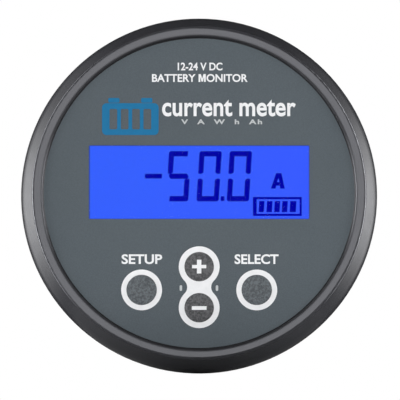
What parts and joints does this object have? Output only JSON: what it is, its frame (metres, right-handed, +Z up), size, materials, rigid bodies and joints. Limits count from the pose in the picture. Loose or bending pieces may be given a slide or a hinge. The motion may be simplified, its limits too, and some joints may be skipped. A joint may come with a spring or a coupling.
{
  "type": "battery monitor display head",
  "caption": "Round flush-mount battery monitor head: backlit display, membrane keys, threaded barrel with ring nut, data jack, serial socket and plug-in relay terminal.",
  "frame": {"origin": "on the axis of the round body, in the plane of the panel seat at the back of the flange", "axes": "+X to the right seen from the front, +Y towards the rear of the panel, +Z up; the display faces -Y"},
  "size_m": [0.063, 0.031, 0.063],
  "materials": {
    "housing_plastic": "fine moulded grain",
    "nut_plastic": "moulded, slightly rough",
    "washer_plastic": "smooth moulded",
    "gasket_rubber": "soft matte",
    "film": "fine velvet printed film",
    "key_film": "fine velvet printed film",
    "window": "clear, polished",
    "plunger_plastic": "smooth",
    "black_plastic": "moulded",
    "tin": "tinned, satin",
    "polariser": "film",
    "lcd_glass": "polished",
    "white_plastic": "smooth",
    "clear_plastic": "clear acrylic",
    "led": "encapsulated",
    "board": "solder mask",
    "gold": "gold plated",
    "brass": "plain",
    "zinc": "zinc plated",
    "ceramic": "fired",
    "green_plastic": "moulded",
    "relay_case": "smooth",
    "iron": "nickel plated",
    "copper": "enamelled wire",
    "can": "satin"
  },
  "bodies": {
    "housing": {"front_housing": "housing_plastic", "rear_cover": "housing_plastic", "panel_gasket": "gasket_rubber", "front_overlay": "film", "display_window": "window", "switch_bodies": "black_plastic", "switch_metalwork": "tin", "lcd_front_polariser": "polariser", "lcd_front_glass": "lcd_glass", "lcd_rear_glass": "lcd_glass", "lcd_pins": "tin", "backlight_diffuser": "white_plastic", "backlight_light_guide": "clear_plastic", "backlight_leds": "led", "lcd_holder": "white_plastic", "display_board": "board", "connector_board": "board", "board_link_bar": "black_plastic", "board_link_pins": "gold", "board_spacers": "brass", "board_screws": "zinc", "microcontroller": "black_plastic", "microcontroller_pins": "tin", "chip_parts": "ceramic", "data_jack_housing": "black_plastic", "data_jack_contacts": "gold", "serial_socket": "white_plastic", "relay_header": "green_plastic", "connector_pins": "tin", "relay_base": "black_plastic", "relay_cover": "relay_case", "relay_yoke": "iron", "relay_winding": "copper", "relay_contacts": "brass", "buzzer": "black_plastic", "capacitors": "can", "rear_cover_screws": "zinc"},
    "setup_key": {"setup_key_pad": "film", "setup_plunger": "plunger_plastic"},
    "setup_switch": {"setup_switch_stem": "black_plastic"},
    "plus_key": {"plus_key_pad": "key_film", "plus_plunger": "plunger_plastic"},
    "plus_switch": {"plus_switch_stem": "black_plastic"},
    "minus_key": {"minus_key_pad": "key_film", "minus_plunger": "plunger_plastic"},
    "minus_switch": {"minus_switch_stem": "black_plastic"},
    "select_key": {"select_key_pad": "film", "select_plunger": "plunger_plastic"},
    "select_switch": {"select_switch_stem": "black_plastic"},
    "clamp_washer": {"clamp_washer": "washer_plastic"},
    "ring_nut": {"ring_nut": "nut_plastic"},
    "relay_plug": {"relay_plug": "green_plastic", "relay_plug_contacts": "brass"},
    "clamp_screw_no": {"clamp_screw_no": "zinc"},
    "wire_clamp_no": {"wire_clamp_no": "brass"},
    "clamp_screw_com": {"clamp_screw_com": "zinc"},
    "wire_clamp_com": {"wire_clamp_com": "brass"},
    "clamp_screw_nc": {"clamp_screw_nc": "zinc"},
    "wire_clamp_nc": {"wire_clamp_nc": "brass"},
    "relay_armature": {"relay_armature": "iron"}
  },
  "joints": [
    {"name": "setup_press", "type": "slide", "parent": "housing", "child": "setup_key", "axis": [0, 1, 0], "range_m": [0, 0.00025]},
    {"name": "setup_switch_travel", "type": "slide", "parent": "housing", "child": "setup_switch", "axis": [0, 1, 0], "range_m": [0, 0.00025]},
    {"name": "plus_press", "type": "slide", "parent": "housing", "child": "plus_key", "axis": [0, 1, 0], "range_m": [0, 0.00025]},
    {"name": "plus_switch_travel", "type": "slide", "parent": "housing", "child": "plus_switch", "axis": [0, 1, 0], "range_m": [0, 0.00025]},
    {"name": "minus_press", "type": "slide", "parent": "housing", "child": "minus_key", "axis": [0, 1, 0], "range_m": [0, 0.00025]},
    {"name": "minus_switch_travel", "type": "slide", "parent": "housing", "child": "minus_switch", "axis": [0, 1, 0], "range_m": [0, 0.00025]},
    {"name": "select_press", "type": "slide", "parent": "housing", "child": "select_key", "axis": [0, 1, 0], "range_m": [0, 0.00025]},
    {"name": "select_switch_travel", "type": "slide", "parent": "housing", "child": "select_switch", "axis": [0, 1, 0], "range_m": [0, 0.00025]},
    {"name": "nut_travel", "type": "slide", "parent": "housing", "child": "clamp_washer", "axis": [0, 1, 0], "range_m": [-0.00168, 0.01151]},
    {"name": "nut_spin", "type": "hinge", "parent": "clamp_washer", "child": "ring_nut", "pos_m": [0, 0.0073, 0], "axis": [0, 1, 0], "range_deg": [-200, 1380]},
    {"name": "plug_pull", "type": "slide", "parent": "housing", "child": "relay_plug", "axis": [0, 1, 0], "range_m": [0, 0.014]},
    {"name": "clamp_no_rise", "type": "slide", "parent": "relay_plug", "child": "wire_clamp_no", "axis": [0, 0, 1], "range_m": [0, 0.00125]},
    {"name": "screw_no_turn", "type": "hinge", "parent": "relay_plug", "child": "clamp_screw_no", "pos_m": [-0.0035, 0.0204, 0.0165], "axis": [0, 0, -1], "range_deg": [0, 1127]},
    {"name": "clamp_com_rise", "type": "slide", "parent": "relay_plug", "child": "wire_clamp_com", "axis": [0, 0, 1], "range_m": [0, 0.00125]},
    {"name": "screw_com_turn", "type": "hinge", "parent": "relay_plug", "child": "clamp_screw_com", "pos_m": [0, 0.0204, 0.0165], "axis": [0, 0, -1], "range_deg": [0, 1127]},
    {"name": "clamp_nc_rise", "type": "slide", "parent": "relay_plug", "child": "wire_clamp_nc", "axis": [0, 0, 1], "range_m": [0, 0.00125]},
    {"name": "screw_nc_turn", "type": "hinge", "parent": "relay_plug", "child": "clamp_screw_nc", "pos_m": [0.0035, 0.0204, 0.0165], "axis": [0, 0, -1], "range_deg": [0, 1127]},
    {"name": "armature_swing", "type": "hinge", "parent": "housing", "child": "relay_armature", "pos_m": [-0.0147, 0.0125, 0.00235], "axis": [-1, 0, 0], "range_deg": [0, 4]}
  ],
  "couplings": [
    {"joint": "setup_switch_travel", "follows": "setup_press", "ratio": 1},
    {"joint": "plus_switch_travel", "follows": "plus_press", "ratio": 1},
    {"joint": "minus_switch_travel", "follows": "minus_press", "ratio": 1},
    {"joint": "select_switch_travel", "follows": "select_press", "ratio": 1},
    {"joint": "nut_travel", "follows": "nut_spin", "m_per_rad": 0.00047746},
    {"joint": "screw_no_turn", "follows": "clamp_no_rise", "rad_per_m": 15708},
    {"joint": "screw_com_turn", "follows": "clamp_com_rise", "rad_per_m": 15708},
    {"joint": "screw_nc_turn", "follows": "clamp_nc_rise", "rad_per_m": 15708}
  ]
}
